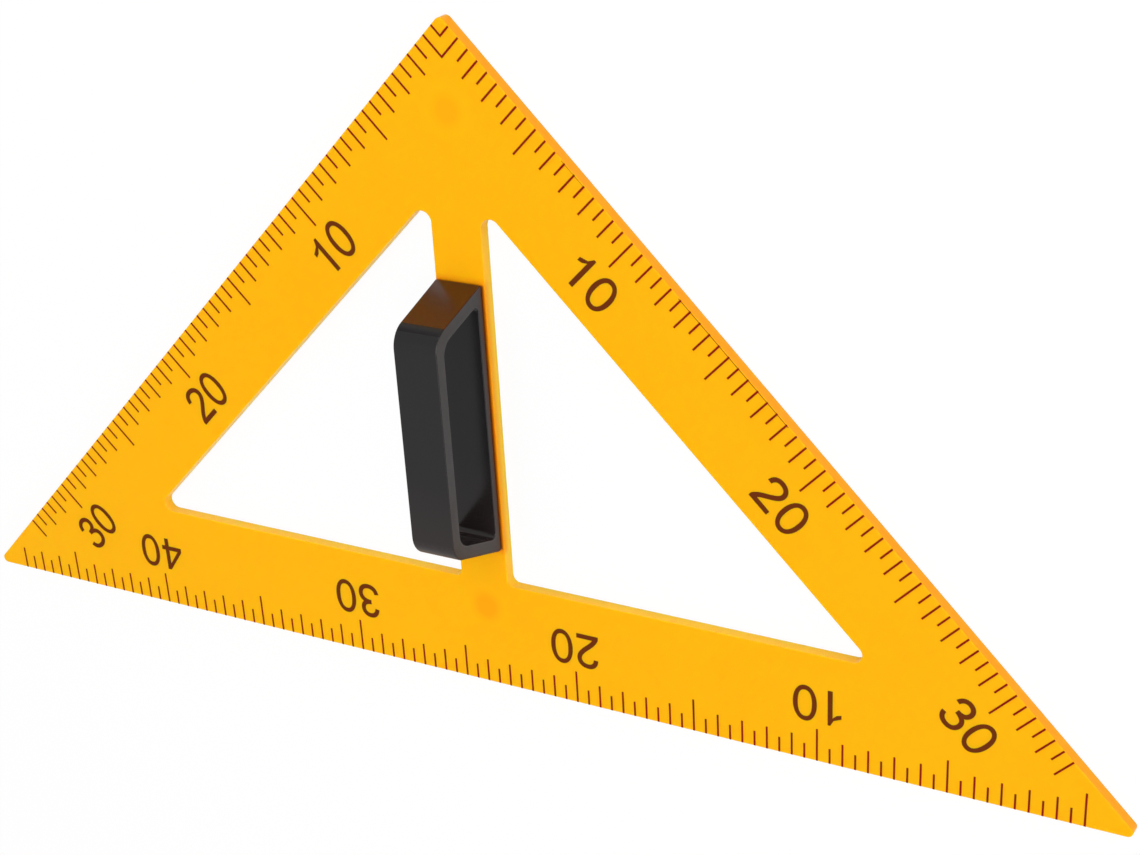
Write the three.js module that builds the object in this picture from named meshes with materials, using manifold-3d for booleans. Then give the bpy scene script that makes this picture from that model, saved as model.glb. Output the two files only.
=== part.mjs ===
// A large 45-45-90 set square for a school board, lying on its back: one moulded plate with two
// triangular windows and a bar between them, a ring handle on the bar, printed centimetre scales
// on all three sides, two magnets let into the back and the two screws that hold the handle.
// Millimetres. X runs along the long side, Y from the long side towards the right angle, and Z
// out of the printed face. The origin is under the middle of the whole plate, on its back face.
import * as THREE from 'three';
import { mergeVertices } from 'three/addons/utils/BufferGeometryUtils.js';
import Module from 'manifold-3d';

const wasm = await Module();
wasm.setup();

// Plate: the two legs are the short sides, measured to their sharp corners
const legLength = 365;
const plateThickness = 5;
const plateEdgeRadius = 0.6;
const plateTipRadius = 2;
const rightAngleRadius = 2.4;
const legBandWidth = 37.7;
const longBandWidth = 44.3;
const barWidth = 20.6;
const windowTipRadius = 3.5;
const windowTopRadius = 4;
const windowSquareRadius = 3;

// Handle: a closed ring that stands on the bar, a little narrower than it and drawn in at the grip
const handleOffset = 14.6;
const handleLength = 106;
const handleHeight = 31.4;
const handleSideMargin = 0.9;
const handleDraft = 0.7;
const handleEndSlant = 9.9;
const handleEndWall = 5.6;
const handleGripWall = 4.8;
const handleBaseWall = 3.5;
const handleEdgeRadius = 0.35;
const handleBaseRadius = 1.2;
const handleGripRadius = 8.7;
const fingerGripRadius = 6.5;
const fingerBaseRadius = 2;

// Screws, from the back through the bar into the handle's end walls
const screwInset = 4.9;
const screwShankRadius = 1.45;
const screwLength = 9;
const screwTipLength = 2;
const screwHeadRadius = 2.8;
const screwHeadHeight = 2;
const screwHeadSink = 0.4;
const screwSlotWidth = 0.8;
const screwSlotDepth = 1.1;
const screwSlotLength = 3.6;
const screwClearance = 0.3;
const screwTipClearance = 0.6;

// Magnets, in blind pockets that open at the back
const magnetRadius = 6;
const magnetThickness = 3;
const magnetSink = 0.4;
const magnetClearance = 0.25;
const upperMagnetDistance = 32.5;
const lowerMagnetDistance = 33.5;

// Printed scales: distances from the plate's edge, and the digits' own sizes
const inkThickness = 0.1;
const markStep = 5;
const markWidth = 0.9;
const markHairline = 0.05;
const shortMarkReach = 6.4;
const mediumMarkReach = 9.5;
const longMarkReach = 13.6;
const longScaleStart = 19.6;
const longScaleEnd = 15;
const legScaleEnd = 33;
const numeralDistance = 16.3;
const printClearance = 1;
const digitHeight = 14.4;
const digitStroke = 1.9;
const digitGap = 1.95;
const digitGapAfterOne = 4.25;

// One overrun for every cut that passes through a face
const cutOverrun = 1;

// Counts
const arcDivisions = 8;
const edgeSteps = 2;
const roundSides = 40;
const smallRoundSides = 24;
const digitCurveSteps = 14;
const zeroSides = 36;
const cornerMarkCount = 2;
const marksPerCentimetre = 2;
const marksPerLongMark = 10;
const marksPerNumeral = 20;

// Derived places on the plate; its height is half the long side, because the legs are equal
const halfLongSide = legLength / Math.SQRT2;
const plateHeight = halfLongSide;
const plateTop = plateHeight - rightAngleRadius * (Math.SQRT2 - 1);
const windowReach = plateHeight - legBandWidth * Math.SQRT2;
const handleStart = longBandWidth + handleOffset;
const handleBaseWidth = barWidth - 2 * handleSideMargin;
const handleGripWidth = handleBaseWidth - 2 * handleDraft;
const counterboreDepth = screwHeadSink + screwHeadHeight;
const screwTip = counterboreDepth + screwLength;
const numeralStep = marksPerNumeral * markStep;
const screwPlaces = {
  upper_handle_screw: handleStart + handleLength - screwInset,
  lower_handle_screw: handleStart + screwInset,
};
const magnetPlaces = {
  upper_magnet: plateHeight - upperMagnetDistance,
  lower_magnet: lowerMagnetDistance,
};

// Materials, by their real finish
const platePlastic = new THREE.MeshStandardMaterial({ color: 0xffb60f, roughness: 0.42, metalness: 0 });
const handlePlastic = new THREE.MeshStandardMaterial({ color: 0x2e2c2d, roughness: 0.45, metalness: 0 });
const markInk = new THREE.MeshStandardMaterial({ color: 0x880a03, roughness: 0.6, metalness: 0 });
const numeralInk = new THREE.MeshStandardMaterial({ color: 0x6a2c02, roughness: 0.6, metalness: 0 });
const zincSteel = new THREE.MeshStandardMaterial({ color: 0xb9bcc0, roughness: 0.35, metalness: 1 });
const magnetFerrite = new THREE.MeshStandardMaterial({ color: 0x3a3b3e, roughness: 0.5, metalness: 0.4 });

// Turns a closed geometry into a solid that can be joined and cut
function solidOf(geometry) {
  const bare = geometry.clone();
  bare.deleteAttribute('normal');
  bare.deleteAttribute('uv');
  const merged = mergeVertices(bare);
  return new wasm.Manifold(
    new wasm.Mesh({
      numProp: 3,
      vertProperties: new Float32Array(merged.attributes.position.array),
      triVerts: new Uint32Array(merged.index.array),
    })
  );
}

// Turns a joined or cut solid back into a geometry
function geometryOf(solid) {
  const mesh = solid.getMesh();
  const geometry = new THREE.BufferGeometry();
  geometry.setAttribute('position', new THREE.BufferAttribute(mesh.vertProperties, mesh.numProp));
  geometry.setIndex(new THREE.BufferAttribute(mesh.triVerts, 1));
  geometry.computeVertexNormals();
  return geometry;
}

// Adds a convex outline with round corners to a path; each corner is x, y and its radius,
// and the corners run counter-clockwise
function roundedOutline(path, corners) {
  const points = corners.map(([x, y]) => new THREE.Vector2(x, y));
  points.forEach((corner, index) => {
    const radius = corners[index][2];
    const before = points[(index + points.length - 1) % points.length].clone().sub(corner).normalize();
    const after = points[(index + 1) % points.length].clone().sub(corner).normalize();
    const halfAngle = before.angleTo(after) / 2;
    const toCentre = before.clone().add(after).normalize().multiplyScalar(radius / Math.sin(halfAngle));
    const reach = radius / Math.tan(halfAngle);
    const start = before.multiplyScalar(reach).sub(toCentre).angle();
    const end = after.multiplyScalar(reach).sub(toCentre).angle();
    path.absarc(corner.x + toCentre.x, corner.y + toCentre.y, radius, start, end, false);
  });
  path.closePath();
  return path;
}

// Extrudes a shape from height zero, with round edges at both ends
function roundEdgedPrism(shape, height, edgeRadius) {
  return new THREE.ExtrudeGeometry(shape, {
    depth: height - 2 * edgeRadius,
    curveSegments: arcDivisions,
    bevelThickness: edgeRadius,
    bevelSize: edgeRadius,
    bevelOffset: -edgeRadius,
    bevelSegments: edgeSteps,
  }).translate(0, 0, edgeRadius);
}

// Extrudes a flat ink shape to the thickness of the print
function inkPrism(shape) {
  return new THREE.ExtrudeGeometry(shape, { depth: inkThickness, bevelEnabled: false });
}

// An upright cylinder, or a cone with another top radius, between two heights
function uprightCylinder(radius, low, high, sides, topRadius = radius) {
  return new THREE.CylinderGeometry(topRadius, radius, high - low, sides)
    .rotateX(Math.PI / 2)
    .translate(0, 0, (low + high) / 2);
}

// Plate

function windowOutline(side) {
  const corners = [
    [side * barWidth / 2, longBandWidth, windowSquareRadius],
    [side * (windowReach - longBandWidth), longBandWidth, windowTipRadius],
    [side * barWidth / 2, windowReach - barWidth / 2, windowTopRadius],
  ];
  return roundedOutline(new THREE.Path(), side > 0 ? corners : corners.reverse());
}

function plateSolid() {
  const shape = roundedOutline(new THREE.Shape(), [
    [-halfLongSide, 0, plateTipRadius],
    [halfLongSide, 0, plateTipRadius],
    [0, plateHeight, rightAngleRadius],
  ]);
  shape.holes.push(windowOutline(1), windowOutline(-1));
  let solid = solidOf(roundEdgedPrism(shape, plateThickness, plateEdgeRadius));
  const pocket = uprightCylinder(
    magnetRadius + magnetClearance, -cutOverrun, magnetSink + magnetThickness, roundSides
  );
  for (const y of Object.values(magnetPlaces)) {
    solid = solid.subtract(solidOf(pocket.clone().translate(0, y, 0)));
  }
  const through = uprightCylinder(
    screwShankRadius + screwClearance, -cutOverrun, plateThickness + cutOverrun, smallRoundSides
  );
  const counterbore = uprightCylinder(
    screwHeadRadius + screwClearance, -cutOverrun, counterboreDepth, smallRoundSides
  );
  for (const y of Object.values(screwPlaces)) {
    solid = solid.subtract(solidOf(through.clone().translate(0, y, 0)));
    solid = solid.subtract(solidOf(counterbore.clone().translate(0, y, 0)));
  }
  return geometryOf(solid);
}

// Handle: its outline is drawn in the plane of Y and Z and pushed along X, then drawn in
// towards the grip

function handleOutline(wall, low, high, gripRadius, baseRadius, path) {
  const slant = (height) => handleEndSlant * height / handleHeight;
  return roundedOutline(path, [
    [handleStart + wall + slant(low), low, baseRadius],
    [handleStart + handleLength - wall - slant(low), low, baseRadius],
    [handleStart + handleLength - wall - slant(high), high, gripRadius],
    [handleStart + wall + slant(high), high, gripRadius],
  ]);
}

function handleSolid() {
  const shape = handleOutline(0, 0, handleHeight, handleGripRadius, handleBaseRadius, new THREE.Shape());
  shape.holes.push(handleOutline(
    handleEndWall, handleBaseWall, handleHeight - handleGripWall, fingerGripRadius, fingerBaseRadius,
    new THREE.Path()
  ));
  const ring = roundEdgedPrism(shape, handleBaseWidth, handleEdgeRadius);
  ring.translate(0, 0, -handleBaseWidth / 2);
  ring.applyMatrix4(new THREE.Matrix4().makeBasis(
    new THREE.Vector3(0, 1, 0), new THREE.Vector3(0, 0, 1), new THREE.Vector3(1, 0, 0)
  ));
  const points = ring.attributes.position;
  for (let index = 0; index < points.count; index += 1) {
    const rise = points.getZ(index) / handleHeight;
    const width = THREE.MathUtils.lerp(handleBaseWidth, handleGripWidth, rise);
    points.setX(index, points.getX(index) * width / handleBaseWidth);
  }
  let solid = solidOf(ring.translate(0, 0, plateThickness));
  const hole = uprightCylinder(
    screwShankRadius + screwClearance, plateThickness - cutOverrun, screwTip + screwTipClearance,
    smallRoundSides
  );
  for (const y of Object.values(screwPlaces)) {
    solid = solid.subtract(solidOf(hole.clone().translate(0, y, 0)));
  }
  return geometryOf(solid);
}

function magnetDisc() {
  return uprightCylinder(magnetRadius, magnetSink, magnetSink + magnetThickness, roundSides);
}

// Screw: a flat pan head with a cross slot, a plain shank and a pointed end

function screwSolid() {
  const head = uprightCylinder(screwHeadRadius, screwHeadSink, counterboreDepth, smallRoundSides);
  const shankEnd = screwTip - screwTipLength;
  const shank = uprightCylinder(
    screwShankRadius, counterboreDepth - screwHeadHeight / 2, shankEnd, smallRoundSides
  );
  const tip = uprightCylinder(screwShankRadius, shankEnd, screwTip, smallRoundSides, 0);
  let solid = solidOf(head).add(solidOf(shank)).add(solidOf(tip));
  const slotHeight = screwSlotDepth + cutOverrun;
  const slot = new THREE.BoxGeometry(screwSlotLength, screwSlotWidth, slotHeight)
    .translate(0, 0, screwHeadSink + screwSlotDepth - slotHeight / 2);
  solid = solid.subtract(solidOf(slot));
  solid = solid.subtract(solidOf(slot.clone().rotateZ(Math.PI / 2)));
  return geometryOf(solid);
}

// Digits, each drawn from its left edge and its baseline; the shares are of the digit's height

const zeroHalfWidthShare = 0.326;
const zeroHalfHeightShare = 0.514;
const zeroOuterPower = 2.1;
const zeroInnerPower = 2.4;
const oneWidthShare = 0.37;
const oneFlagShares = [[0.3, 1], [0.21, 0.84], [0, 0.745], [0, 0.635], [0.13, 0.675]];
const oneNotchShare = 0.775;
const twoWidthShare = 0.646;
const twoCurveShares = [
  [0.088, 0.715], [0.096, 0.86], [0.19, 0.946], [0.322, 0.946],
  [0.475, 0.946], [0.583, 0.86], [0.583, 0.728],
  [0.583, 0.62], [0.51, 0.54], [0.41, 0.448],
  [0.285, 0.335], [0.13, 0.235], [0.055, 0.05],
];
const twoHeelShare = 0.08;
const threeWidthShare = 0.636;
const threeUpperShares = [
  [0.075, 0.722], [0.095, 0.87], [0.18, 0.948], [0.306, 0.948],
  [0.44, 0.948], [0.53, 0.86], [0.53, 0.74],
  [0.53, 0.6], [0.43, 0.525], [0.25, 0.525],
];
const threeLowerShares = [
  [0.25, 0.525], [0.45, 0.525], [0.579, 0.44], [0.579, 0.28],
  [0.579, 0.13], [0.47, 0.043], [0.325, 0.043],
  [0.18, 0.043], [0.08, 0.12], [0.058, 0.262],
];
const fourWidthShare = 0.69;
const fourStemShare = 0.44;
const fourBarShare = 0.238;
const fourTopShare = 0.462;
const fourCounterTopShare = 0.8;
const fourCounterTipShare = 0.135;

// A closed oval between an ellipse and a box, by the formula |x/a|^n + |y/b|^n = 1
function ovalPoints(halfWidth, halfHeight, power, centreX, centreY) {
  return Array.from({ length: zeroSides }, (_, index) => {
    const angle = (2 * Math.PI * index) / zeroSides;
    const bend = (value) => Math.sign(value) * Math.abs(value) ** (2 / power);
    return new THREE.Vector2(
      centreX + halfWidth * bend(Math.cos(angle)),
      centreY + halfHeight * bend(Math.sin(angle))
    );
  });
}

// A stroke of the digit's line width along a chain of cubic curves, with square ends
function strokeShape(shares) {
  const points = shares.map(([x, y]) => new THREE.Vector2(x * digitHeight, y * digitHeight));
  const line = new THREE.CurvePath();
  for (let index = 0; index + 3 < points.length; index += 3) {
    line.add(new THREE.CubicBezierCurve(...points.slice(index, index + 4)));
  }
  const edge = (side) => Array.from({ length: digitCurveSteps + 1 }, (_, step) => {
    const point = line.getPointAt(step / digitCurveSteps);
    const tangent = line.getTangentAt(step / digitCurveSteps);
    const across = side * digitStroke / 2;
    return new THREE.Vector2(point.x - tangent.y * across, point.y + tangent.x * across);
  });
  return new THREE.Shape([...edge(-1), ...edge(1).reverse()]);
}

function polygonShape(points) {
  return new THREE.Shape(points.map(([x, y]) => new THREE.Vector2(x, y)));
}

function joinedInk(shapes) {
  const solids = shapes.map((shape) => solidOf(inkPrism(shape)));
  return geometryOf(solids.reduce((sum, solid) => sum.add(solid)));
}

function digitZero() {
  const halfWidth = zeroHalfWidthShare * digitHeight;
  const halfHeight = zeroHalfHeightShare * digitHeight;
  const middle = digitHeight / 2;
  const shape = new THREE.Shape(ovalPoints(halfWidth, halfHeight, zeroOuterPower, halfWidth, middle));
  shape.holes.push(new THREE.Path(ovalPoints(
    halfWidth - digitStroke, halfHeight - digitStroke, zeroInnerPower, halfWidth, middle
  )));
  return inkPrism(shape);
}

function digitOne() {
  const right = oneWidthShare * digitHeight;
  const flag = oneFlagShares.map(([x, y]) => [x * digitHeight, y * digitHeight]);
  return inkPrism(polygonShape([
    [right, 0],
    [right, digitHeight],
    ...flag,
    [right - digitStroke, oneNotchShare * digitHeight],
    [right - digitStroke, 0],
  ]));
}

function digitTwo() {
  const width = twoWidthShare * digitHeight;
  const foot = polygonShape([
    [0, 0], [width, 0], [width, digitStroke], [digitStroke, digitStroke], [0, twoHeelShare * digitHeight],
  ]);
  return joinedInk([strokeShape(twoCurveShares), foot]);
}

function digitThree() {
  return joinedInk([strokeShape(threeUpperShares), strokeShape(threeLowerShares)]);
}

function digitFour() {
  const width = fourWidthShare * digitHeight;
  const stemLeft = fourStemShare * digitHeight;
  const stemRight = stemLeft + digitStroke;
  const barLow = fourBarShare * digitHeight;
  const barHigh = barLow + digitStroke;
  const counterTop = fourCounterTopShare * digitHeight;
  const counterTip = fourCounterTipShare * digitHeight;
  const stem = polygonShape([
    [stemLeft, 0], [stemRight, 0], [stemRight, digitHeight], [stemLeft, digitHeight],
  ]);
  const bar = polygonShape([[0, barLow], [width, barLow], [width, barHigh], [0, barHigh]]);
  const slope = polygonShape([
    [0, barLow], [counterTip, barLow], [counterTip, barHigh], [stemLeft, counterTop], [stemRight, counterTop],
    [stemRight, digitHeight], [fourTopShare * digitHeight, digitHeight], [0, barHigh],
  ]);
  return joinedInk([stem, bar, slope]);
}

const zeroDigit = { geometry: digitZero(), width: 2 * zeroHalfWidthShare * digitHeight };
const tensDigits = [
  { geometry: digitOne(), width: oneWidthShare * digitHeight, gap: digitGapAfterOne },
  { geometry: digitTwo(), width: twoWidthShare * digitHeight, gap: digitGap },
  { geometry: digitThree(), width: threeWidthShare * digitHeight, gap: digitGap },
  { geometry: digitFour(), width: fourWidthShare * digitHeight, gap: digitGap },
];

// Printed scales. Each side's print is drawn in a group of its own, with X along the side, Y from
// the sharp edge into the plate and Z up from the printed face; its marks count up along X or
// against it.

const scales = [
  {
    name: 'left_leg', corner: [0, plateHeight], turn: -3 * Math.PI / 4, counting: 1,
    sideLength: legLength, start: 0, end: legScaleEnd, firstMark: cornerMarkCount + 1,
  },
  {
    name: 'right_leg', corner: [0, plateHeight], turn: 3 * Math.PI / 4, counting: -1,
    sideLength: legLength, start: 0, end: legScaleEnd, firstMark: cornerMarkCount + 1,
  },
  {
    name: 'long_side', corner: [halfLongSide, 0], turn: 0, counting: -1,
    sideLength: 2 * halfLongSide, start: longScaleStart, end: longScaleEnd, firstMark: 0,
  },
];

// Where a side ends, its neighbour's marks run in at 45 degrees: the last numeral is the last one
// whose far corner is clear of them
const widestTens = Math.max(...tensDigits.map((digit) => digit.width + digit.gap));
const numeralEnd = numeralDistance + digitHeight + (widestTens + zeroDigit.width) / 2
  + Math.SQRT2 * (longMarkReach + printClearance);

function markReach(mark) {
  if (mark % marksPerLongMark === 0) return longMarkReach;
  return mark % marksPerCentimetre === 0 ? mediumMarkReach : shortMarkReach;
}

// The marks of one side as one layer of ink: a comb whose back is a hairline at the plate's edge
function markComb(firstMark, lastMark) {
  const half = markWidth / 2;
  const back = plateEdgeRadius + markHairline;
  const outline = [
    [firstMark * markStep - half, plateEdgeRadius],
    [lastMark * markStep + half, plateEdgeRadius],
  ];
  for (let mark = lastMark; mark >= firstMark; mark -= 1) {
    const place = mark * markStep;
    const reach = markReach(mark);
    outline.push([place + half, back], [place + half, reach], [place - half, reach], [place - half, back]);
  }
  return inkPrism(polygonShape(outline));
}

// The first marks of both legs meet, so each pair is one angle of ink, with its corner at zero
function cornerAngle(mark) {
  const half = markWidth / 2;
  const end = mark * markStep - plateEdgeRadius;
  return inkPrism(polygonShape([
    [-half, -half], [end, -half], [end, half], [half, half], [half, end], [-half, end],
  ]));
}

// Assembly

const setSquare = new THREE.Group();
setSquare.position.y = -plateTop / 2;

function addPiece(parent, name, geometry, material, x, y) {
  const piece = new THREE.Mesh(geometry, material);
  piece.name = name;
  piece.position.set(x, y, 0);
  parent.add(piece);
  return piece;
}

addPiece(setSquare, 'set_square_plate', plateSolid(), platePlastic, 0, 0);
addPiece(setSquare, 'handle', handleSolid(), handlePlastic, 0, 0);
for (const [name, y] of Object.entries(screwPlaces)) {
  addPiece(setSquare, name, screwSolid(), zincSteel, 0, y);
}
for (const [name, y] of Object.entries(magnetPlaces)) {
  addPiece(setSquare, name, magnetDisc(), magnetFerrite, 0, y);
}

// A group that stands at a place and is turned about the vertical
function addTurnedGroup(parent, x, y, z, turn) {
  const group = new THREE.Group();
  group.position.set(x, y, z);
  group.rotation.z = turn;
  parent.add(group);
  return group;
}

// A tens digit and a zero, centred on their mark, with the tops towards the plate's edge
function addNumeral(print, name, first, x) {
  const numeral = addTurnedGroup(print, x, numeralDistance + digitHeight, 0, Math.PI);
  const width = first.width + first.gap + zeroDigit.width;
  addPiece(numeral, `${name}_tens_digit`, first.geometry, numeralInk, -width / 2, 0);
  addPiece(numeral, `${name}_units_digit`, zeroDigit.geometry, numeralInk, width / 2 - zeroDigit.width, 0);
}

for (const scale of scales) {
  const print = addTurnedGroup(setSquare, ...scale.corner, plateThickness, scale.turn);
  const room = scale.sideLength - scale.start;
  const comb = markComb(scale.firstMark, Math.floor((room - scale.end) / markStep));
  const marks = addPiece(print, `${scale.name}_marks`, comb, markInk, scale.counting * scale.start, 0);
  marks.scale.x = scale.counting;
  const numeralCount = Math.floor((room - numeralEnd) / numeralStep);
  tensDigits.slice(0, numeralCount).forEach((digit, index) => {
    const tens = index + 1;
    const distance = scale.start + tens * numeralStep;
    addNumeral(print, `${scale.name}_${tens}0`, digit, scale.counting * distance);
  });
}

for (let mark = 1; mark <= cornerMarkCount; mark += 1) {
  const y = plateHeight - mark * markStep * Math.SQRT2;
  const corner = addTurnedGroup(setSquare, 0, y, plateThickness, Math.PI / 4);
  addPiece(corner, `corner_mark_${mark}`, cornerAngle(mark), markInk, 0, 0);
}

export default setSquare;
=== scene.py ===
from math import cos, pi, radians, sin, sqrt

import bpy
import numpy as np
from mathutils import Matrix, Vector
from mathutils.geometry import tessellate_polygon


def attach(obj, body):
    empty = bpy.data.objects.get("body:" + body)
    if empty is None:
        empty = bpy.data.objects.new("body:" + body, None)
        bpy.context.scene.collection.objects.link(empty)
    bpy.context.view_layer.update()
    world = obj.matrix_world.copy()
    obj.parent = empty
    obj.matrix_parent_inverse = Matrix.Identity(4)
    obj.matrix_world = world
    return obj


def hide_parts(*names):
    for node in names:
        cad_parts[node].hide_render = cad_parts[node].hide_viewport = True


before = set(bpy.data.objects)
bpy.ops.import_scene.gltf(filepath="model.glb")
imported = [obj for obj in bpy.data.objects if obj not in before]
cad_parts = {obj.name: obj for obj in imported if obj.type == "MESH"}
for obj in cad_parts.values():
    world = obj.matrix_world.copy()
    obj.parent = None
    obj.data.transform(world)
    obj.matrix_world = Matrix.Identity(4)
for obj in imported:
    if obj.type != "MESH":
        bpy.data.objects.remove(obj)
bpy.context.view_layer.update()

# A large 45-45-90 set square for a school board: its plate, ring handle, printed scales, screws and
# magnets, each finer than its CAD solid and in the same place. Shapes are worked out in millimetres,
# in the plate's own axes: X along the long side, Y from its sharp edge to the right angle, Z out of
# the printed face. Every mesh is then put into the frame's metres.

MM = 0.001

# Plate
LEG_LENGTH = 365
PLATE_THICKNESS = 5
PLATE_EDGE_RADIUS = 0.25
PLATE_WORN_EDGE_RADIUS = 0.45
PLATE_TIP_RADIUS = 2
RIGHT_ANGLE_RADIUS = 2.4
LEG_BAND_WIDTH = 37.7
LONG_BAND_WIDTH = 44.3
BAR_WIDTH = 20.6
WINDOW_TIP_RADIUS = 3.5
WINDOW_TOP_RADIUS = 4
WINDOW_SQUARE_RADIUS = 3
HALF_LONG_SIDE = LEG_LENGTH / sqrt(2)
PLATE_HEIGHT = HALF_LONG_SIDE
PLATE_TOP = PLATE_HEIGHT - RIGHT_ANGLE_RADIUS * (sqrt(2) - 1)
WINDOW_REACH = PLATE_HEIGHT - LEG_BAND_WIDTH * sqrt(2)
CORNER_STEPS = 16
RIM_STEPS = 7

# Handle
HANDLE_OFFSET = 14.6
HANDLE_SIDE_MARGIN = 0.9
HANDLE_START = LONG_BAND_WIDTH + HANDLE_OFFSET
HANDLE_LENGTH = 106
HANDLE_HEIGHT = 31.4
HANDLE_BASE_WIDTH = BAR_WIDTH - 2 * HANDLE_SIDE_MARGIN
HANDLE_DRAFT = 0.4
HANDLE_SHIFT = -0.3
HANDLE_END_SLANT = 9.9
HANDLE_END_WALL = 5.6
HANDLE_GRIP_WALL = 4.8
HANDLE_BASE_WALL = 3.5
HANDLE_EDGE_RADIUS = 0.35
HANDLE_FOOT_RADIUS = 1
HANDLE_BASE_RADIUS = 1.2
HANDLE_GRIP_RADIUS = 8.7
FINGER_GRIP_RADIUS = 6.5
FINGER_BASE_RADIUS = 2
HANDLE_CORNER_STEPS = 20
HANDLE_RIM_STEPS = 6

# Screws and magnets, all on the plate's middle line
SCREW_INSET = 4.9
SCREW_SHANK_RADIUS = 1.45
SCREW_TIP = 11.4
SCREW_TIP_LENGTH = 2
SCREW_HEAD_RADIUS = 2.8
SCREW_HEAD_HEIGHT = 2
SCREW_HEAD_SINK = 0.4
SCREW_HEAD_ROUNDING = 0.5
SCREW_RECESS_DEPTH = 1.1
SCREW_RECESS_HALF_WIDTH = 0.42
SCREW_RECESS_REACH = 1.75
SCREW_RECESS_SLOPE = 0.28
SCREW_CLEARANCE = 0.3
COUNTERBORE_DEPTH = SCREW_HEAD_SINK + SCREW_HEAD_HEIGHT
MAGNET_RADIUS = 6
MAGNET_THICKNESS = 3
MAGNET_SINK = 0.4
MAGNET_CHAMFER = 0.35
MAGNET_CLEARANCE = 0.25
MAGNET_FROM_RIGHT_ANGLE = 32.5
MAGNET_FROM_LONG_SIDE = 33.5
ROUND_STEPS = 64
SCREW_STEPS = 120
SCREW_FACE_RINGS = 40
SCREW_ROUNDING_STEPS = 6
TURNED_SHARP_ANGLE = radians(30)
SCREW_PLACES = {
    "upper_handle_screw": HANDLE_START + HANDLE_LENGTH - SCREW_INSET,
    "lower_handle_screw": HANDLE_START + SCREW_INSET,
}
MAGNET_PLACES = {
    "upper_magnet": PLATE_HEIGHT - MAGNET_FROM_RIGHT_ANGLE, "lower_magnet": MAGNET_FROM_LONG_SIDE,
}

# Printed scales
INK_THICKNESS = 0.05
INK_SINK = 0.02
MARK_STEP = 5
MARK_WIDTH = 0.75
SHORT_MARK_REACH = 6.4
MEDIUM_MARK_REACH = 9.5
LONG_MARK_REACH = 13.6
MEDIUM_MARK_EVERY = 2
LONG_MARK_EVERY = 10
LEG_LAST_MARK = 66
LONG_SIDE_LAST_MARK = 96
LONG_SCALE_START = 19.6
MARK_OVER_EDGE_SHARE = 0.6
DRAPE_STEPS = 6
# Stray lines of ink along an edge: where each starts and ends, and its width
HAIRLINES = {"right_leg": ((63.5, 75.5, 0.12), (124, 181, 0.22))}
NUMERAL_DISTANCE = 16.3
NUMERAL_STEP = 100
DIGIT_HEIGHT = 14.4
DIGIT_STROKE = 1.9
DIGIT_GAP = 1.95
DIGIT_GAP_AFTER_ONE = 4.25
CORNER_MARKS = 2
CURVE_STEPS = 16
ZERO_STEPS = 72

# Camera, fitted to the printed marks of the photograph
PICTURE_WIDTH = 1140
PICTURE_HEIGHT = 855
FOCAL_PIXELS = 2141.9
PRINCIPAL_PIXEL = (600.0, 634.6)
SENSOR_WIDTH = 36
CAMERA_PLACE = Vector((0.406145, 0.292973, 0.610207))
CAMERA_FORWARD = Vector((-0.443705, -0.484730, -0.753766))
PICTURE_UP = Vector((-0.199920, 0.873437, -0.444004))


# Meshes from arrays


def unit(vectors):
    """Each row divided by its own length."""
    return vectors / np.linalg.norm(vectors, axis=-1, keepdims=True)


def grid_faces(rows, columns, first=0):
    """Quads between neighbouring rows of points; each row is a closed ring."""
    row, column = np.meshgrid(np.arange(rows - 1), np.arange(columns), indexing="ij")
    here, after = row * columns + column, row * columns + (column + 1) % columns
    corners = np.stack([here, after, after + columns, here + columns], axis=-1)
    return first + corners.reshape(-1, 4)


def flat_faces(loops, firsts, upwards):
    """Triangles that fill one flat area between closed loops, turned to face up or down."""
    points = np.concatenate(loops)
    numbers = np.concatenate([first + np.arange(len(loop)) for first, loop in zip(firsts, loops)])
    sheets = [[Vector((x, y, 0)) for x, y in loop] for loop in loops]
    triangles = np.array(tessellate_polygon(sheets))
    sides = points[triangles[:, 1:]] - points[triangles[:, :1]]
    area = sides[:, 0, 0] * sides[:, 1, 1] - sides[:, 0, 1] * sides[:, 1, 0]
    triangles = triangles[area != 0]
    turned = (area[area != 0] > 0) != upwards
    triangles[turned] = triangles[turned, ::-1]
    return numbers[triangles]


def make_piece(name, points, faces, materials, nodes, normals=None, sharp=None, finishes=None):
    """A piece in the frame's metres from points in plate millimetres. Its shading follows the given
    normals, or else it is smooth up to the sharp angle, or flat where there is none. Where a piece has
    more than one finish, each face has the number of its own."""
    mesh = bpy.data.meshes.new(name)
    placed = (np.asarray(points, float) - (0, PLATE_TOP / 2, 0)) * MM
    mesh.from_pydata(placed.tolist(), [], [list(map(int, face)) for group in faces for face in group])
    mesh.validate()
    if normals is not None:
        mesh.shade_smooth()
        mesh.normals_split_custom_set_from_vertices(unit(np.asarray(normals, float)).tolist())
    elif sharp is not None:
        mesh.shade_smooth()
        mesh.set_sharp_from_angle(angle=sharp)
    else:
        mesh.shade_flat()
    for material in materials:
        mesh.materials.append(material)
    if finishes is not None:
        mesh.polygons.foreach_set("material_index", np.asarray(finishes, np.int32))
    piece = bpy.data.objects.new(name, mesh)
    bpy.context.scene.collection.objects.link(piece)
    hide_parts(*nodes)
    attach(piece, "root")
    return piece


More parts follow.
